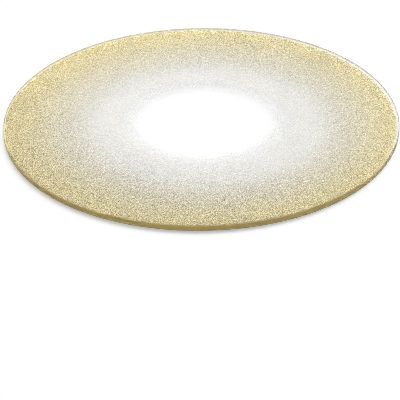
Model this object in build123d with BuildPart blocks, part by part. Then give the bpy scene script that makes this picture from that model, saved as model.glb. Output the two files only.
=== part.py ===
"""A round glass candle plate: a gold glitter fade is bonded under the glass, sealed by
clear lacquer, and the plate stands on four clear bumper feet.

Z is up. The origin is on the table, under the centre of the plate.
"""

import os

from build123d import *

# Driving dimensions, in millimetres

# Glass blank, flat ground round the edge with a 45 degree arris on both rims
plate_diameter = 200.0
glass_thickness = 3.0
edge_arris = 0.3

# Glitter coat: full depth in a band along the rim, thinning out to a clear centre
clear_centre_diameter = 64.0
dense_band_width = 20.0
rim_margin = 0.3
glitter_depth = 0.25
fade_depth = 0.06

# Clear lacquer that seals the glitter from below
seal_thickness = 0.1

# Self-adhesive bumper feet: a straight wall at the glued end, then a bulging flank down
# to a flat rest
foot_diameter = 10.0
foot_height = 1.4
foot_rest_diameter = 6.4
foot_straight_wall = 0.4
foot_flank_bulge = 0.25
adhesive_thickness = 0.1
adhesive_inset = 0.5
foot_angles = {"back_right": 45, "back_left": 135, "front_left": 225, "front_right": 315}

# Heights of the stacked layers, from the table up
seal_underside = foot_height + adhesive_thickness
coat_underside = seal_underside + seal_thickness
glass_underside = coat_underside + glitter_depth
fade_underside = glass_underside - fade_depth

# Radii of the layers
glass_radius = plate_diameter / 2
flat_radius = glass_radius - edge_arris
coat_radius = flat_radius - rim_margin
band_radius = coat_radius - dense_band_width
clear_radius = clear_centre_diameter / 2

# The feet hold on under the middle of the dense band
foot_circle_radius = (coat_radius + band_radius) / 2
foot_radius = foot_diameter / 2
foot_rest_radius = foot_rest_diameter / 2

os.makedirs("parts", exist_ok=True)


def write(piece, name):
    """Labels a finished piece and writes it to its own file."""
    piece.part.label = name
    export_step(piece.part, f"parts/{name}.step")


# Glass disc
with BuildPart() as glass_disc:
    with BuildSketch(Plane.XY.offset(glass_underside)):
        Circle(glass_radius)
    extrude(amount=glass_thickness)
    chamfer(glass_disc.edges().filter_by(GeomType.CIRCLE), length=edge_arris)
write(glass_disc, "glass_disc")

# Glitter coat, a ring that tapers from the dense band to the clear centre
with BuildPart() as glitter_coat:
    with BuildSketch(Plane.XZ):
        with BuildLine():
            Polyline(
                (clear_radius, glass_underside),
                (coat_radius, glass_underside),
                (coat_radius, coat_underside),
                (band_radius, coat_underside),
                (clear_radius, fade_underside),
                close=True,
            )
        make_face()
    revolve(axis=Axis.Z)
write(glitter_coat, "glitter_coat")

# Sealing lacquer, which follows the coat from below and wraps round its outer edge
with BuildPart() as sealing_lacquer:
    with BuildSketch(Plane.XZ):
        with BuildLine():
            Polyline(
                (0, glass_underside),
                (clear_radius, glass_underside),
                (clear_radius, fade_underside),
                (band_radius, coat_underside),
                (coat_radius, coat_underside),
                (coat_radius, glass_underside),
                (flat_radius, glass_underside),
                (flat_radius, seal_underside),
                (band_radius, seal_underside),
                (clear_radius, fade_underside - seal_thickness),
                (0, fade_underside - seal_thickness),
                close=True,
            )
        make_face()
    revolve(axis=Axis.Z)
write(sealing_lacquer, "sealing_lacquer")

# Bumper feet and the adhesive dots that hold them, one pair at each angle
for place, angle in foot_angles.items():
    foot_centre = Vector(foot_circle_radius, 0, 0).rotate(Axis.Z, angle)

    with BuildPart() as bumper_foot:
        with BuildSketch(Plane(foot_centre, x_dir=(1, 0, 0), z_dir=(0, -1, 0))):
            with BuildLine():
                rest = Line((0, 0), (foot_rest_radius, 0))
                flank_top = (foot_radius, foot_height - foot_straight_wall)
                flank = SagittaArc(rest @ 1, flank_top, -foot_flank_bulge)
                wall = Line(flank @ 1, (foot_radius, foot_height))
                Polyline(wall @ 1, (0, foot_height), rest @ 0)
            make_face()
        revolve(axis=Axis(foot_centre, (0, 0, 1)))
    write(bumper_foot, f"bumper_foot_{place}")

    with BuildPart() as adhesive_dot:
        with BuildSketch(Plane(foot_centre).offset(foot_height)):
            Circle(foot_radius - adhesive_inset)
        extrude(amount=adhesive_thickness)
    write(adhesive_dot, f"adhesive_dot_{place}")
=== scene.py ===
import math

import bpy
from mathutils import Matrix, Vector


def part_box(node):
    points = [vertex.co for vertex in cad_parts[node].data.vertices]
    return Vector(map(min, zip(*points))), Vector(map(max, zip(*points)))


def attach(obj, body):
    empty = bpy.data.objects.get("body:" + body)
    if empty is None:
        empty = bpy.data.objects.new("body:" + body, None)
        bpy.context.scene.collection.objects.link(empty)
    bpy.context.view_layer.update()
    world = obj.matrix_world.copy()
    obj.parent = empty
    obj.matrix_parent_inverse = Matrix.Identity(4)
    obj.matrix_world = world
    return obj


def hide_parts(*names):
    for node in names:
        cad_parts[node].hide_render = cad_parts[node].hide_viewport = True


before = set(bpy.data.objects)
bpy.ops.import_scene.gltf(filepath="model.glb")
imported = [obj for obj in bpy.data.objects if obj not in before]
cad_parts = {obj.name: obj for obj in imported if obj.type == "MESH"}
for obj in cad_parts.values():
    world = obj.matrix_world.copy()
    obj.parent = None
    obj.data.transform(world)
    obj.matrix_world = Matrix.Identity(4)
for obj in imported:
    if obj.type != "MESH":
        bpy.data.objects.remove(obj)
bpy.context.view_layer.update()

# Sizes, in metres, read from the frame
MM = 0.001
glass_low, glass_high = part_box("glass_disc")
coat_low, coat_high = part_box("glitter_coat")
seal_low, seal_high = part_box("sealing_lacquer")

glass_radius = glass_high.x
glass_top = glass_high.z
glass_underside = glass_low.z
coat_radius = coat_high.x
coat_underside = coat_low.z
seal_radius = seal_high.x
seal_underside = seal_low.z
edge_arris = glass_radius - seal_radius
seal_thickness = coat_underside - seal_underside

# Sizes of the coat that the frame's boxes don't give
clear_radius = 32 * MM
band_width = 20 * MM
band_radius = coat_radius - band_width
fade_depth = 0.06 * MM
fade_underside = glass_underside - fade_depth

# Turning a profile: its steps, the distance that counts as one point, the length that counts as no edge, and
# the angle up to which neighbouring faces shade smoothly
lathe_steps = 256
weld_distance = 0.001 * MM
sliver_length = 0.0001 * MM
smooth_angle = math.radians(20)

# A point that is equally far from no two parts of a turned piece, so that distance gives them one order
order_point = (0.311, 0.187, 0.053)

# The least height of a face's normal where the face looks up, an upper arris too, and where it lies flat
LOOKS_UP = 0.5
LIES_FLAT = 0.9

# Glitter: hexagonal foil flakes in five colours, each in several even tones at random. The darkest
# tones are painted shade, for flakes that catch no light. The flakes of a colour lie in a band of radii:
# none at the first, full number from the second to the third, none at the fourth. The last band holds
# light and bronze flakes that lie most thickly at the front: painted shade and painted glints there.
# A sector starts as a sheet of cells, narrow enough along the radius for the number of flakes to follow
# it. The hexagons are drawn coarser than fine glitter is, so that they show.
sector_count = 8
sector_steps = 12
sector_rings = 70
glitter_seed = 7
seeds_per_sector = 30
seeds_per_band = 5
flake_sides = 6
flake_radius = 0.17 * MM
flake_tilt = math.radians(5)
flake_depths = (0.04 * MM, 0.10 * MM)
foil_roughness = 0.4
coat_start = 30.5 * MM
fade_centre = Vector((1.5, 1.8, 0)) * MM
rim_centre = Vector((2.5, -0.8, 0)) * MM
# Centre of the painted shade and glint flakes, behind the plate's middle, so that they lie thickest at the
# front
front_shade_and_glint_centre = Vector((25, 60, 0)) * MM
# The darker tones in each band are painted shade
flake_bands = {
    "champagne_foil": {
        "tones": ("#E5E4DF", "#D1D0CB", "#B7B6B1", "#8B8A85"), "per_mm2": 1.0,
        "centre": fade_centre, "radii": (34 * MM, 46 * MM, 54 * MM, 72 * MM), "power": 1},
    "pale_gold_foil": {
        "tones": ("#F6F2E8", "#E4DFD2", "#CAC5B4", "#928D77", "#504C38"), "per_mm2": 3.7,
        "centre": rim_centre, "radii": (54 * MM, 67 * MM, 70 * MM, 84 * MM), "power": 1},
    "light_gold_foil": {
        "tones": ("#FAF6E4", "#E8E3C8", "#CEC8A6", "#948C62", "#504A22"), "per_mm2": 3.7,
        "centre": rim_centre, "radii": (64 * MM, 78 * MM, 82 * MM, 97 * MM), "power": 1},
    "gold_foil": {
        "tones": ("#FEF9DC", "#EEE6BC", "#D6CC98", "#B2A468", "#76682E", "#40360C"), "per_mm2": 10,
        "centre": rim_centre, "radii": (74 * MM, 99 * MM, 110 * MM, 120 * MM), "power": 1.5},
    # Light and bronze flakes: painted shade and painted glints, thickest at the front
    "mixed_foil": {
        "tones": ("#FFF8DE", "#FFF2C8", "#6A5418", "#4A3808", "#322606", "#2A2002"), "per_mm2": 3.4,
        "centre": front_shade_and_glint_centre, "radii": (100 * MM, 165 * MM, 180 * MM, 190 * MM), "power": 1},
}

# The edge of the coat, a little off the middle of the glass, and the width in which it thins out
coat_centre = Vector((-1.1, -0.1, 0)) * MM
coat_edge = coat_radius + 0.9 * MM
edge_fade = 1.5 * MM

# Metal dust, which tints the coat between and under the flakes
dust_grain = 0.5 * MM
champagne_dust = ("#C1C0BB", "#EBEAE5")
gold_dust = ("#B2A167", "#FAEAA6")
haze_end = 44 * MM
haze_cover = 0.64
gold_cover = 0.4
gold_start = 55.5 * MM
gold_power = 1.5
dust_unevenness = 0.12
dust_fade_depth = 0.13 * MM
dust_band_depth = 0.2 * MM
dust_thickness = 0.03 * MM

# Tint of the ground edge, partly stain and partly painted shade for the gold coat that the edge shows dark
# gold-brown: its tones at the lower and the upper side, darker towards the bottom, how far under the upper
# face it has thinned out, the tone of the stain that has crept under the lower arris, and the size, noise
# levels and strength of the speckles
stain_and_shade_tones = ("#AB953C", "#C7B158")
stain_and_shade_end = 0.4 * MM
crept_tone = "#E8D284"
stain_speckle = 0.7 * MM
speckle_levels = (0.25, 0.75)
stain_unevenness = 0.35

# Clear layers: the glass and its lacquer bend light alike
WHITE = "#FFFFFF"
glass_ior = 1.52
polyurethane_ior = 1.49

# Bubbles in the adhesive
bubble_size = 0.8 * MM
bubble_depth = 0.02 * MM
adhesive_tones = ("#F6F6F2", "#DCDCD6")

# Camera, from the outline of the upper rim in the 400 pixel picture
PICTURE = 400
SENSOR = 36
camera_distance = 1.5
camera_elevation = math.radians(29.82)
camera_roll = math.radians(-0.64)
focal_pixels = 2966
plate_centre_pixel = (201.2, 120.9)

# Picture: the width of its pixel filter, and the most bounces through layers and on shiny faces
pixel_filter = 1.0
layer_bounces = 24
shine_bounces = 16

# Light: how bright the room is as a lamp and as it is seen, the softbox, and strips that light only the foil
room_light = 0.62
room_white = 1.0
softbox_size = (2.0, 2.0)
softbox_watts = 14
softbox_place = (0.9, 0.9, 1.3)
strip_size = (0.8, 0.2)
strip_watts = 0.91
strip_places = {
    "back": (-0.2, 0.42, 0.435),
    "front": (0, -0.42, 0.435),
    "left": (-0.42, 0, 0.435),
    "right": (0.42, 0, 0.435),
}

# Floor: a sheet of paper, how far it lies under the feet, and how much it glows to show as white
floor_size = 8
floor_drop = 0.02 * MM
paper_tone = "#F1F2F3"
floor_lift = 0.295

# Sockets that share their names with others: a Mix node's colours and a Random Value node's whole numbers
COLOUR_A, COLOUR_B, COLOUR_OUT = 6, 7, 2
WHOLE_MIN, WHOLE_MAX, WHOLE_OUT = 4, 5, 2


def linear(hex_colour):
    """A #RRGGBB sRGB colour as linear RGBA."""
    shares = [int(hex_colour[i:i + 2], 16) / 255 for i in (1, 3, 5)]
    return [s / 12.92 if s <= 0.04045 else ((s + 0.055) / 1.055) ** 2.4 for s in shares] + [1]


def add_node(tree, kind, inputs=None, **settings):
    """Adds a node with its settings. Each input is a value, or an output to link to it."""
    node = tree.nodes.new(kind)
    for name, value in settings.items():
        setattr(node, name, value)
    for name, value in (inputs or {}).items():
        if isinstance(value, bpy.types.NodeSocket):
            tree.links.new(value, node.inputs[name])
        else:
            node.inputs[name].default_value = value
    return node


def radial_rise(tree, place, centre, start, end, power, height):
    """A height that rises from 0 at the start radius about a centre to its full value at the end radius."""
    apart = add_node(tree, "ShaderNodeVectorMath", {0: place, 1: centre}, operation="SUBTRACT")
    flat = add_node(tree, "ShaderNodeVectorMath", {0: apart.outputs[0], 1: (1, 1, 0)}, operation="MULTIPLY")
    radius = add_node(tree, "ShaderNodeVectorMath", {0: flat.outputs[0]}, operation="LENGTH")
    share = add_node(tree, "ShaderNodeMapRange", {
        "Value": radius.outputs["Value"], "From Min": start, "From Max": end})
    curve = add_node(tree, "ShaderNodeMath", {0: share.outputs[0], 1: power}, operation="POWER")
    rise = add_node(tree, "ShaderNodeMath", {0: curve.outputs[0], 1: height}, operation="MULTIPLY")
    return rise.outputs[0]


def new_material(name):
    """An empty node material, with its tree and its output node."""
    material = bpy.data.materials.new(name)
    material.use_nodes = True
    material.node_tree.nodes.clear()
    output = add_node(material.node_tree, "ShaderNodeOutputMaterial")
    return material, material.node_tree, output


# Materials


def clear_material(name, tint, roughness, ior, grain, depth):
    """A clear solid that bends what is seen through it and lets lamps and scattered light pass. Its surface
    has soft unevenness of one depth, as long in x, y and z as the three sizes of its grain."""
    material, tree, output = new_material(name)
    place = add_node(tree, "ShaderNodeTexCoord")
    stretched = add_node(tree, "ShaderNodeVectorMath", {
        0: place.outputs["Object"], 1: [1 / size for size in grain]}, operation="MULTIPLY")
    uneven = add_node(tree, "ShaderNodeTexNoise", {
        "Vector": stretched.outputs[0], "Scale": 1.0, "Detail": 2.0})
    bump = add_node(tree, "ShaderNodeBump", {"Height": uneven.outputs["Fac"], "Distance": depth})
    solid = add_node(tree, "ShaderNodeBsdfPrincipled", {
        "Base Color": linear(tint), "Roughness": roughness, "IOR": ior, "Transmission Weight": 1.0,
        "Normal": bump.outputs["Normal"]})
    path = add_node(tree, "ShaderNodeLightPath")
    passing = add_node(tree, "ShaderNodeMath", {
        0: path.outputs["Is Shadow Ray"], 1: path.outputs["Is Diffuse Ray"]}, operation="MAXIMUM")
    through = add_node(tree, "ShaderNodeBsdfTransparent")
    surface = add_node(tree, "ShaderNodeMixShader", {
        0: passing.outputs[0], 1: solid.outputs["BSDF"], 2: through.outputs["BSDF"]})
    tree.links.new(surface.outputs[0], output.inputs["Surface"])
    return material


def polished_glass():
    """Polished float glass: colourless and mirror smooth, with the slow ripple that float glass has."""
    ripple = (40 * MM, 15 * MM, 40 * MM)
    return clear_material(
        "polished_float_glass", tint=WHITE, roughness=0.0, ior=glass_ior, grain=ripple, depth=0.004 * MM)


def ground_glass():
    """Ground glass edge: a satin surface that blurs what lies behind it, with the grinding wheel's streaks
    along it, drawn wider than they are so that they show. Its tint, in speckles and darker towards the
    bottom, is partly a stain of the gold spray and partly painted shade for the gold coat that the edge
    shows dark gold-brown. Seen through the glass, the tint shows only at the lower arris, where stain has
    crept in."""
    streaks = (9 * MM, 9 * MM, 0.5 * MM)
    material = clear_material(
        "ground_glass_edge", tint=stain_and_shade_tones[0], roughness=0.55, ior=glass_ior, grain=streaks,
        depth=0.02 * MM)
    tree = material.node_tree
    place = add_node(tree, "ShaderNodeTexCoord")
    height = add_node(tree, "ShaderNodeSeparateXYZ", {0: place.outputs["Object"]})
    share = add_node(tree, "ShaderNodeMapRange", {
        "Value": height.outputs["Z"], "From Min": glass_underside, "From Max": glass_top})
    speckle = add_node(tree, "ShaderNodeTexNoise", {
        "Vector": place.outputs["Object"], "Scale": 1 / stain_speckle, "Detail": 1.0})
    uneven = add_node(tree, "ShaderNodeMapRange", {
        "Value": speckle.outputs["Fac"], "From Min": speckle_levels[0], "From Max": speckle_levels[1],
        "To Min": -stain_unevenness, "To Max": stain_unevenness})
    mixed = add_node(tree, "ShaderNodeMath", {
        0: share.outputs[0], 1: uneven.outputs[0]}, operation="ADD", use_clamp=True)
    # Painted shade and stain: darker towards the bottom, in speckles
    stain = add_node(tree, "ShaderNodeMix", {
        "Factor": mixed.outputs[0], COLOUR_A: linear(stain_and_shade_tones[0]), COLOUR_B: linear(stain_and_shade_tones[1])},
        data_type="RGBA")
    above = add_node(tree, "ShaderNodeMapRange", {
        "Value": height.outputs["Z"], "From Min": glass_underside, "From Max": glass_underside + edge_arris})
    inside = add_node(tree, "ShaderNodeMix", {
        "Factor": above.outputs[0], COLOUR_A: linear(crept_tone), COLOUR_B: linear(WHITE)},
        data_type="RGBA")
    bare = add_node(tree, "ShaderNodeMapRange", {
        "Value": height.outputs["Z"],
        "From Min": glass_top - 2 * stain_and_shade_end, "From Max": glass_top - stain_and_shade_end})
    outside = add_node(tree, "ShaderNodeMix", {
        "Factor": bare.outputs[0], COLOUR_A: stain.outputs[COLOUR_OUT], COLOUR_B: linear(WHITE)},
        data_type="RGBA")
    # The painted shade shows only from outside; from inside the edge is clear but for the crept stain
    side = add_node(tree, "ShaderNodeNewGeometry")
    tint = add_node(tree, "ShaderNodeMix", {
        "Factor": side.outputs["Backfacing"],
        COLOUR_A: outside.outputs[COLOUR_OUT], COLOUR_B: inside.outputs[COLOUR_OUT]}, data_type="RGBA")
    tree.links.new(tint.outputs[COLOUR_OUT], tree.nodes["Principled BSDF"].inputs["Base Color"])
    return material


def clear_lacquer():
    """Sprayed clear lacquer: glossy, with the same index as the glass and the dimples of a sprayed film."""
    orange_peel = (2.5 * MM, 2.5 * MM, 2.5 * MM)
    return clear_material(
        "clear_acrylic_lacquer", tint=WHITE, roughness=0.05, ior=glass_ior, grain=orange_peel,
        depth=0.02 * MM)


def clear_polyurethane():
    """Cast clear polyurethane: soft, water clear, a little hazy, with a faintly grained skin."""
    skin = (0.5 * MM, 0.5 * MM, 0.5 * MM)
    return clear_material(
        "clear_polyurethane", tint="#F6F8F6", roughness=0.12, ior=polyurethane_ior, grain=skin,
        depth=0.01 * MM)


def bond_line():
    """Bonded face between layers of one index: nothing to see."""
    material, tree, output = new_material("bond_line")
    shader = add_node(tree, "ShaderNodeBsdfTransparent")
    tree.links.new(shader.outputs["BSDF"], output.inputs["Surface"])
    return material


def metal_foil(name, colour):
    """Metallised foil: a satin shine in one even tone. Flakes of many tones side by side are its grain, and
    its darkest tones are painted shade, for flakes that catch no light.
    """
    material, tree, output = new_material(name)
    shader = add_node(tree, "ShaderNodeBsdfPrincipled", {
        "Base Color": linear(colour), "Metallic": 1.0, "Roughness": foil_roughness})
    tree.links.new(shader.outputs["BSDF"], output.inputs["Surface"])
    return material


def metal_dust():
    """Fine metal powder in clear binder: a satin bloom, a thin champagne haze that thickens to gold at the
    rim. Its grains are drawn coarser than they are, so that they show."""
    material, tree, output = new_material("metal_dust")
    place = add_node(tree, "ShaderNodeTexCoord").outputs["Object"]
    grains = add_node(tree, "ShaderNodeTexVoronoi", {
        "Vector": place, "Scale": 1 / dust_grain}, voronoi_dimensions="2D")
    grain = add_node(tree, "ShaderNodeSeparateColor", {"Color": grains.outputs["Color"]})
    champagne, gold = (add_node(tree, "ShaderNodeMix", {
        "Factor": grain.outputs["Red"], COLOUR_A: linear(dark), COLOUR_B: linear(light)}, data_type="RGBA")
        for dark, light in (champagne_dust, gold_dust))
    share = radial_rise(tree, place, rim_centre, gold_start, coat_radius, 1, 1)
    tone = add_node(tree, "ShaderNodeMix", {
        "Factor": share, COLOUR_A: champagne.outputs[COLOUR_OUT], COLOUR_B: gold.outputs[COLOUR_OUT]},
        data_type="RGBA")
    haze = radial_rise(tree, place, fade_centre, coat_start, haze_end, 1, haze_cover)
    rim = radial_rise(tree, place, rim_centre, gold_start, coat_radius, gold_power, gold_cover)
    even = add_node(tree, "ShaderNodeMath", {0: haze, 1: rim}, operation="ADD")
    patchy = add_node(tree, "ShaderNodeMapRange", {
        "Value": grain.outputs["Green"], "To Min": 1 - dust_unevenness, "To Max": 1 + dust_unevenness})
    whole = add_node(tree, "ShaderNodeMath", {
        0: even.outputs[0], 1: patchy.outputs[0]}, operation="MULTIPLY", use_clamp=True)
    margin = radial_rise(tree, place, coat_centre, coat_edge - edge_fade, coat_edge, 1, 1)
    cover = add_node(tree, "ShaderNodeMath", {
        0: whole.outputs[0], 1: margin}, operation="SUBTRACT", use_clamp=True)
    powder = add_node(tree, "ShaderNodeBsdfPrincipled", {
        "Base Color": tone.outputs[COLOUR_OUT], "Metallic": 1.0, "Roughness": 0.5,
        "Alpha": cover.outputs[0]})
    tree.links.new(powder.outputs["BSDF"], output.inputs["Surface"])
    return material


def acrylic_adhesive():
    """Acrylic adhesive: milky and dull, clouded by small trapped bubbles."""
    material, tree, output = new_material("acrylic_adhesive")
    place = add_node(tree, "ShaderNodeTexCoord")
    bubbles = add_node(tree, "ShaderNodeTexVoronoi", {
        "Vector": place.outputs["Object"], "Scale": 1 / bubble_size}, feature="SMOOTH_F1")
    tone = add_node(tree, "ShaderNodeMix", {
        "Factor": bubbles.outputs["Distance"],
        COLOUR_A: linear(adhesive_tones[0]), COLOUR_B: linear(adhesive_tones[1])}, data_type="RGBA")
    bump = add_node(tree, "ShaderNodeBump", {
        "Height": bubbles.outputs["Distance"], "Distance": bubble_depth})
    shader = add_node(tree, "ShaderNodeBsdfPrincipled", {
        "Base Color": tone.outputs[COLOUR_OUT], "Roughness": 0.5, "Normal": bump.outputs["Normal"]})
    tree.links.new(shader.outputs["BSDF"], output.inputs["Surface"])
    return material


def seen_rays(tree):
    """1 for rays that show a surface to the eye, directly, mirrored or through glass, else 0."""
    path = add_node(tree, "ShaderNodeLightPath")
    seen = path.outputs["Is Camera Ray"]
    for ray in ("Is Glossy Ray", "Is Transmission Ray"):
        seen = add_node(tree, "ShaderNodeMath", {
            0: seen, 1: path.outputs[ray]}, operation="MAXIMUM").outputs[0]
    return seen


def floor_paper():
    """Matt white paper that shows as white and still takes a shadow."""
    material, tree, output = new_material("white_paper")
    diffuse = add_node(tree, "ShaderNodeBsdfDiffuse", {"Color": linear(paper_tone)})
    lift = add_node(tree, "ShaderNodeMath", {0: seen_rays(tree), 1: floor_lift}, operation="MULTIPLY")
    glow = add_node(tree, "ShaderNodeEmission", {"Strength": lift.outputs[0]})
    both = add_node(tree, "ShaderNodeAddShader", {0: diffuse.outputs[0], 1: glow.outputs[0]})
    tree.links.new(both.outputs[0], output.inputs["Surface"])
    return material


# Modelling


def start_profile(name, points):
    """A new object in edit mode, whose mesh is one chain of edges through (radius, height) points."""
    bpy.ops.object.select_all(action="DESELECT")
    radius, height = points[0]
    bpy.ops.mesh.primitive_plane_add(size=MM, location=(0, 0, 0))
    piece = bpy.context.object
    piece.name = piece.data.name = name
    bpy.ops.object.mode_set(mode="EDIT")
    bpy.ops.mesh.select_all(action="SELECT")
    bpy.ops.mesh.merge(type="CENTER")
    bpy.ops.transform.translate(value=(radius, 0, height))
    for (r0, z0), (r1, z1) in zip(points, points[1:]):
        bpy.ops.mesh.extrude_vertices_move(TRANSFORM_OT_translate={"value": (r1 - r0, 0, z1 - z0)})
    return piece


def lathe(name, points):
    """A closed body turned from a profile that starts and ends on the axis, or where it started. The spin
    leaves its parts in another order on each run, so they are sorted by their distance from a point."""
    piece = start_profile(name, points)
    bpy.ops.mesh.select_all(action="SELECT")
    bpy.ops.mesh.spin(steps=lathe_steps, angle=math.tau, center=(0, 0, 0), axis=(0, 0, 1))
    bpy.ops.mesh.select_all(action="SELECT")
    bpy.ops.mesh.remove_doubles(threshold=weld_distance)
    bpy.ops.mesh.dissolve_degenerate(threshold=sliver_length)
    bpy.ops.mesh.select_all(action="SELECT")
    bpy.ops.mesh.normals_make_consistent(inside=False)
    bpy.context.scene.cursor.location = order_point
    bpy.ops.mesh.sort_elements(type="CURSOR_DISTANCE", elements={"VERT", "EDGE", "FACE"})
    bpy.context.scene.cursor.location = (0, 0, 0)
    bpy.ops.object.mode_set(mode="OBJECT")
    bpy.ops.object.shade_smooth_by_angle(angle=smooth_angle)
    return piece


def dress(piece, materials, slot_of):
    """Gives a piece its materials, and each face the slot that slot_of picks from its centre and normal."""
    for material in materials:
        piece.data.materials.append(material)
    for face in piece.data.polygons:
        face.material_index = slot_of(face.center, face.normal)


def model_glass(bond):
    """The glass disc, with a ground edge and a polished upper arris. Its underside is bonded to the coat."""
    piece = lathe("plate_glass", [
        (0, glass_underside),
        (glass_radius - edge_arris, glass_underside),
        (glass_radius, glass_underside + edge_arris),
        (glass_radius, glass_top - edge_arris),
        (glass_radius - edge_arris, glass_top),
        (0, glass_top)])
    polished, ground, bonded = range(3)

    def slot_of(centre, normal):
        if normal.z > LOOKS_UP:
            return polished
        return bonded if normal.z < -LIES_FLAT else ground

    dress(piece, [polished_glass(), ground_glass(), bond], slot_of)
    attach(piece, "root")
    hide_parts("glass_disc")


def model_lacquer(bond):
    """The sealing lacquer. Its upper faces are bonded to the coat and the glass."""
    piece = lathe("plate_lacquer", [
        (0, fade_underside - seal_thickness),
        (clear_radius, fade_underside - seal_thickness),
        (band_radius, seal_underside),
        (seal_radius, seal_underside),
        (seal_radius, glass_underside),
        (coat_radius, glass_underside),
        (coat_radius, coat_underside),
        (band_radius, coat_underside),
        (clear_radius, fade_underside),
        (clear_radius, glass_underside),
        (0, glass_underside)])
    lip_middle = (coat_radius + seal_radius) / 2
    bare, bonded = range(2)

    def slot_of(centre, normal):
        outer_wall = math.hypot(centre.x, centre.y) > lip_middle and abs(normal.z) < LOOKS_UP
        return bare if normal.z < -LOOKS_UP or outer_wall else bonded

    dress(piece, [clear_lacquer(), bond], slot_of)
    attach(piece, "root")
    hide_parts("sealing_lacquer")


def model_dust(bond):
    """The metal dust under the flakes: a thin closed ring in the coat, whose upper face carries it."""
    piece = lathe("metal_dust_ring", [
        (coat_start, glass_underside - dust_fade_depth),
        (band_radius, glass_underside - dust_band_depth),
        (coat_radius, glass_underside - dust_band_depth),
        (coat_radius, glass_underside - dust_band_depth - dust_thickness),
        (band_radius, glass_underside - dust_band_depth - dust_thickness),
        (coat_start, glass_underside - dust_fade_depth - dust_thickness),
        (coat_start, glass_underside - dust_fade_depth)])
    dusted, bonded = range(2)
    dress(piece, [metal_dust(), bond], lambda centre, normal: dusted if normal.z > LOOKS_UP else bonded)
    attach(piece, "root")
    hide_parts("glitter_coat")
    return piece


def wrap(tree, sheet):
    """Wraps a flat sheet round the middle of the plate: its x is the radius and its y the angle."""
    place = add_node(tree, "GeometryNodeInputPosition")
    parts = add_node(tree, "ShaderNodeSeparateXYZ", {0: place.outputs[0]})
    spoke = add_node(tree, "ShaderNodeCombineXYZ", {"X": parts.outputs["X"], "Z": parts.outputs["Z"]})
    turned = add_node(tree, "ShaderNodeVectorRotate", {
        "Vector": spoke.outputs[0], "Angle": parts.outputs["Y"]}, rotation_type="Z_AXIS")
    sector = add_node(tree, "GeometryNodeSetPosition", {"Geometry": sheet, "Position": turned.outputs[0]})
    return sector.outputs[0]


def strew(tree, sector, flake, per_mm2, seed):
    """Strews copies of a flake over the sector: tilted at random, between two depths, each of one tone."""
    density = add_node(tree, "ShaderNodeMath", {0: per_mm2, 1: MM ** 2}, operation="DIVIDE")
    points = add_node(tree, "GeometryNodeDistributePointsOnFaces", {
        "Mesh": sector, "Density": density.outputs[0], "Seed": seed}, distribute_method="RANDOM")
    level = add_node(tree, "FunctionNodeRandomValue", {
        0: (0, 0, -flake_depths[1]), 1: (0, 0, -flake_depths[0]), "Seed": seed + 1},
        data_type="FLOAT_VECTOR")
    settled = add_node(tree, "GeometryNodeSetPosition", {
        "Geometry": points.outputs["Points"], "Offset": level.outputs[0]})
    turn = add_node(tree, "FunctionNodeRandomValue", {
        0: (-flake_tilt, -flake_tilt, 0), 1: (flake_tilt, flake_tilt, math.tau), "Seed": seed + 2},
        data_type="FLOAT_VECTOR")
    shape = add_node(tree, "GeometryNodeObjectInfo", {"Object": flake})
    strewn = add_node(tree, "GeometryNodeInstanceOnPoints", {
        "Points": settled.outputs[0], "Instance": shape.outputs["Geometry"], "Rotation": turn.outputs[0]})
    real = add_node(tree, "GeometryNodeRealizeInstances", {"Geometry": strewn.outputs[0]})
    tone = add_node(tree, "FunctionNodeRandomValue", {
        WHOLE_MIN: 0, WHOLE_MAX: len(flake.data.materials) - 1, "Seed": seed + 3}, data_type="INT")
    toned = add_node(tree, "GeometryNodeSetMaterialIndex", {
        "Geometry": real.outputs[0], "Material Index": tone.outputs[WHOLE_OUT]})
    return toned.outputs[0]


def glitter_tree(flakes, seed):
    """Geometry nodes that turn a flat sheet into a sector of the coat, with its bands of flakes."""
    tree = bpy.data.node_groups.new("strew_glitter", "GeometryNodeTree")
    tree.interface.new_socket("Geometry", in_out="INPUT", socket_type="NodeSocketGeometry")
    tree.interface.new_socket("Geometry", in_out="OUTPUT", socket_type="NodeSocketGeometry")
    sector = wrap(tree, add_node(tree, "NodeGroupInput").outputs[0])
    place = add_node(tree, "GeometryNodeInputPosition").outputs[0]
    layers = add_node(tree, "GeometryNodeJoinGeometry")
    for number, (flake, band) in enumerate(zip(flakes, flake_bands.values())):
        start, full, fall, end = band["radii"]
        rise = radial_rise(tree, place, band["centre"], start, full, band["power"], band["per_mm2"])
        drop = radial_rise(tree, place, band["centre"], fall, end, 1, band["per_mm2"])
        whole = add_node(tree, "ShaderNodeMath", {0: rise, 1: drop}, operation="SUBTRACT")
        margin = radial_rise(
            tree, place, coat_centre, coat_edge - edge_fade, coat_edge, 1, band["per_mm2"])
        per_mm2 = add_node(tree, "ShaderNodeMath", {0: whole.outputs[0], 1: margin}, operation="SUBTRACT")
        layer = strew(tree, sector, flake, per_mm2.outputs[0], seed + seeds_per_band * number)
        tree.links.new(layer, layers.inputs[0])
    add_node(tree, "NodeGroupOutput", {0: layers.outputs[0]})
    return tree


def model_flake(name, tones):
    """One hexagonal flake, with the tones of foil that its copies are given."""
    bpy.ops.object.select_all(action="DESELECT")
    bpy.ops.mesh.primitive_circle_add(vertices=flake_sides, radius=flake_radius, fill_type="NGON")
    flake = bpy.context.object
    flake.name = name
    for number, tone in enumerate(tones, 1):
        flake.data.materials.append(metal_foil(f"{name}_{number}", tone))
    return flake


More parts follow.
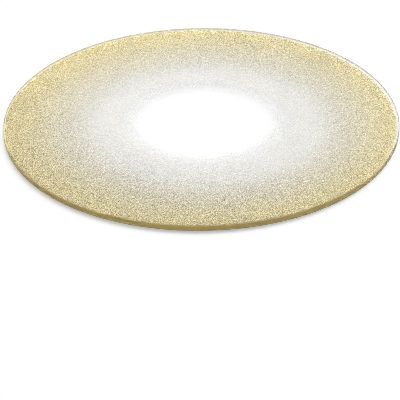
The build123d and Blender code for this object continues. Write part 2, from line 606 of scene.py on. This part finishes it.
def model_glitter():
    """The glitter, in sectors, each a mesh of separate flakes under the glass. A sector starts as a flat
    sheet, as long as the coat is wide, whose width is an angle until it is wrapped."""
    flakes = [model_flake(name, band["tones"]) for name, band in flake_bands.items()]
    last_flake = coat_radius - flake_radius
    angle = math.tau / sector_count
    sectors = []
    for sector in range(sector_count):
        bpy.ops.object.select_all(action="DESELECT")
        bpy.ops.mesh.primitive_grid_add(x_subdivisions=sector_rings, y_subdivisions=sector_steps, size=1)
        piece = bpy.context.object
        piece.name = piece.data.name = f"glitter_sector_{sector + 1}"
        bpy.ops.object.mode_set(mode="EDIT")
        bpy.ops.mesh.select_all(action="SELECT")
        bpy.ops.transform.resize(value=(last_flake - coat_start, angle, 1), center_override=(0, 0, 0))
        bpy.ops.transform.translate(
            value=((coat_start + last_flake) / 2, (sector + 0.5) * angle, glass_underside))
        bpy.ops.object.mode_set(mode="OBJECT")
        scatter = piece.modifiers.new("strew", "NODES")
        scatter.node_group = glitter_tree(flakes, glitter_seed + seeds_per_sector * sector)
        bpy.ops.object.modifier_apply(modifier=scatter.name)
        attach(piece, "root")
        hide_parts("glitter_coat")
        sectors.append(piece)
    for flake in flakes:
        bpy.data.objects.remove(flake)
    return sectors


def dress_feet():
    """The feet and their adhesive keep their frame shapes and get their materials."""
    rubber, glue = clear_polyurethane(), acrylic_adhesive()
    for name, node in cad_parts.items():
        if name.startswith("bumper_foot"):
            node.material_slots[0].material = rubber
        elif name.startswith("adhesive_dot"):
            node.material_slots[0].material = glue


# Stage


def set_floor():
    """A wide sheet of white paper, just under the feet."""
    bpy.ops.object.select_all(action="DESELECT")
    bpy.ops.mesh.primitive_plane_add(size=floor_size, location=(0, 0, -floor_drop))
    floor = bpy.context.object
    floor.name = "floor"
    floor.data.materials.append(floor_paper())


def add_lamp(name, size, watts, place):
    """A flat lamp that faces the plate."""
    light = bpy.data.lights.new(name, "AREA")
    light.shape = "RECTANGLE"
    light.size, light.size_y = size
    light.energy = watts
    lamp = bpy.data.objects.new(name, light)
    bpy.context.collection.objects.link(lamp)
    lamp.location = place
    lamp.rotation_euler = (-lamp.location).to_track_quat("-Z", "Y").to_euler()
    return lamp


def set_light(foil_pieces):
    """An even white room, a large softbox at the upper right behind the plate, and a strip on each side that
    makes the foil glint. The strips light the foil alone, so that no glare of theirs covers the glass. Their
    light comes straight through the glass, so it isn't weighed against paths that the glass bends."""
    world = bpy.data.worlds.new("studio")
    bpy.context.scene.world = world
    world.use_nodes = True
    tree = world.node_tree
    tree.nodes.clear()
    strength = add_node(tree, "ShaderNodeMapRange", {
        "Value": seen_rays(tree), "To Min": room_light, "To Max": room_white})
    room = add_node(tree, "ShaderNodeBackground", {
        "Color": linear(WHITE), "Strength": strength.outputs[0]})
    add_node(tree, "ShaderNodeOutputWorld", {"Surface": room.outputs[0]})
    add_lamp("softbox", softbox_size, softbox_watts, softbox_place)
    foil = bpy.data.collections.new("foil")
    for piece in foil_pieces:
        foil.objects.link(piece)
    for name, place in strip_places.items():
        strip = add_lamp(f"strip_{name}", strip_size, strip_watts, place)
        strip.light_linking.receiver_collection = foil
        strip.data.cycles.use_multiple_importance_sampling = False


def set_camera():
    """The camera at the photograph's angle, with the plate's centre at its pixel."""
    lens = bpy.data.cameras.new("camera")
    lens.sensor_width = SENSOR
    lens.lens = focal_pixels * SENSOR / PICTURE
    camera = bpy.data.objects.new("camera", lens)
    bpy.context.collection.objects.link(camera)
    away = Vector((0, -math.cos(camera_elevation), math.sin(camera_elevation)))
    place = Vector((0, 0, glass_top)) + camera_distance * away
    pan = math.atan((plate_centre_pixel[0] - PICTURE / 2) / focal_pixels)
    tilt = math.atan((plate_centre_pixel[1] - PICTURE / 2) / focal_pixels)
    camera.matrix_world = (
        Matrix.Translation(place)
        @ Matrix.Rotation(math.pi / 2 - camera_elevation, 4, "X")
        @ Matrix.Rotation(camera_roll, 4, "Z")
        @ Matrix.Rotation(pan, 4, "Y")
        @ Matrix.Rotation(tilt, 4, "X"))
    bpy.context.scene.camera = camera


def set_picture():
    """Crisp single flakes, which a wide pixel filter or a smoothed denoiser would blur, and enough bounces
    for light to get through the glass, the layers of the coat and back."""
    scene = bpy.context.scene
    scene.view_settings.view_transform = "Standard"
    scene.cycles.filter_width = pixel_filter
    scene.cycles.denoising_prefilter = "NONE"
    scene.cycles.max_bounces = layer_bounces
    scene.cycles.transparent_max_bounces = layer_bounces
    scene.cycles.glossy_bounces = shine_bounces
    scene.cycles.transmission_bounces = shine_bounces


bond = bond_line()
model_glass(bond)
model_lacquer(bond)
foil_pieces = [model_dust(bond)] + model_glitter()
dress_feet()
set_floor()
set_light(foil_pieces)
set_camera()
set_picture()
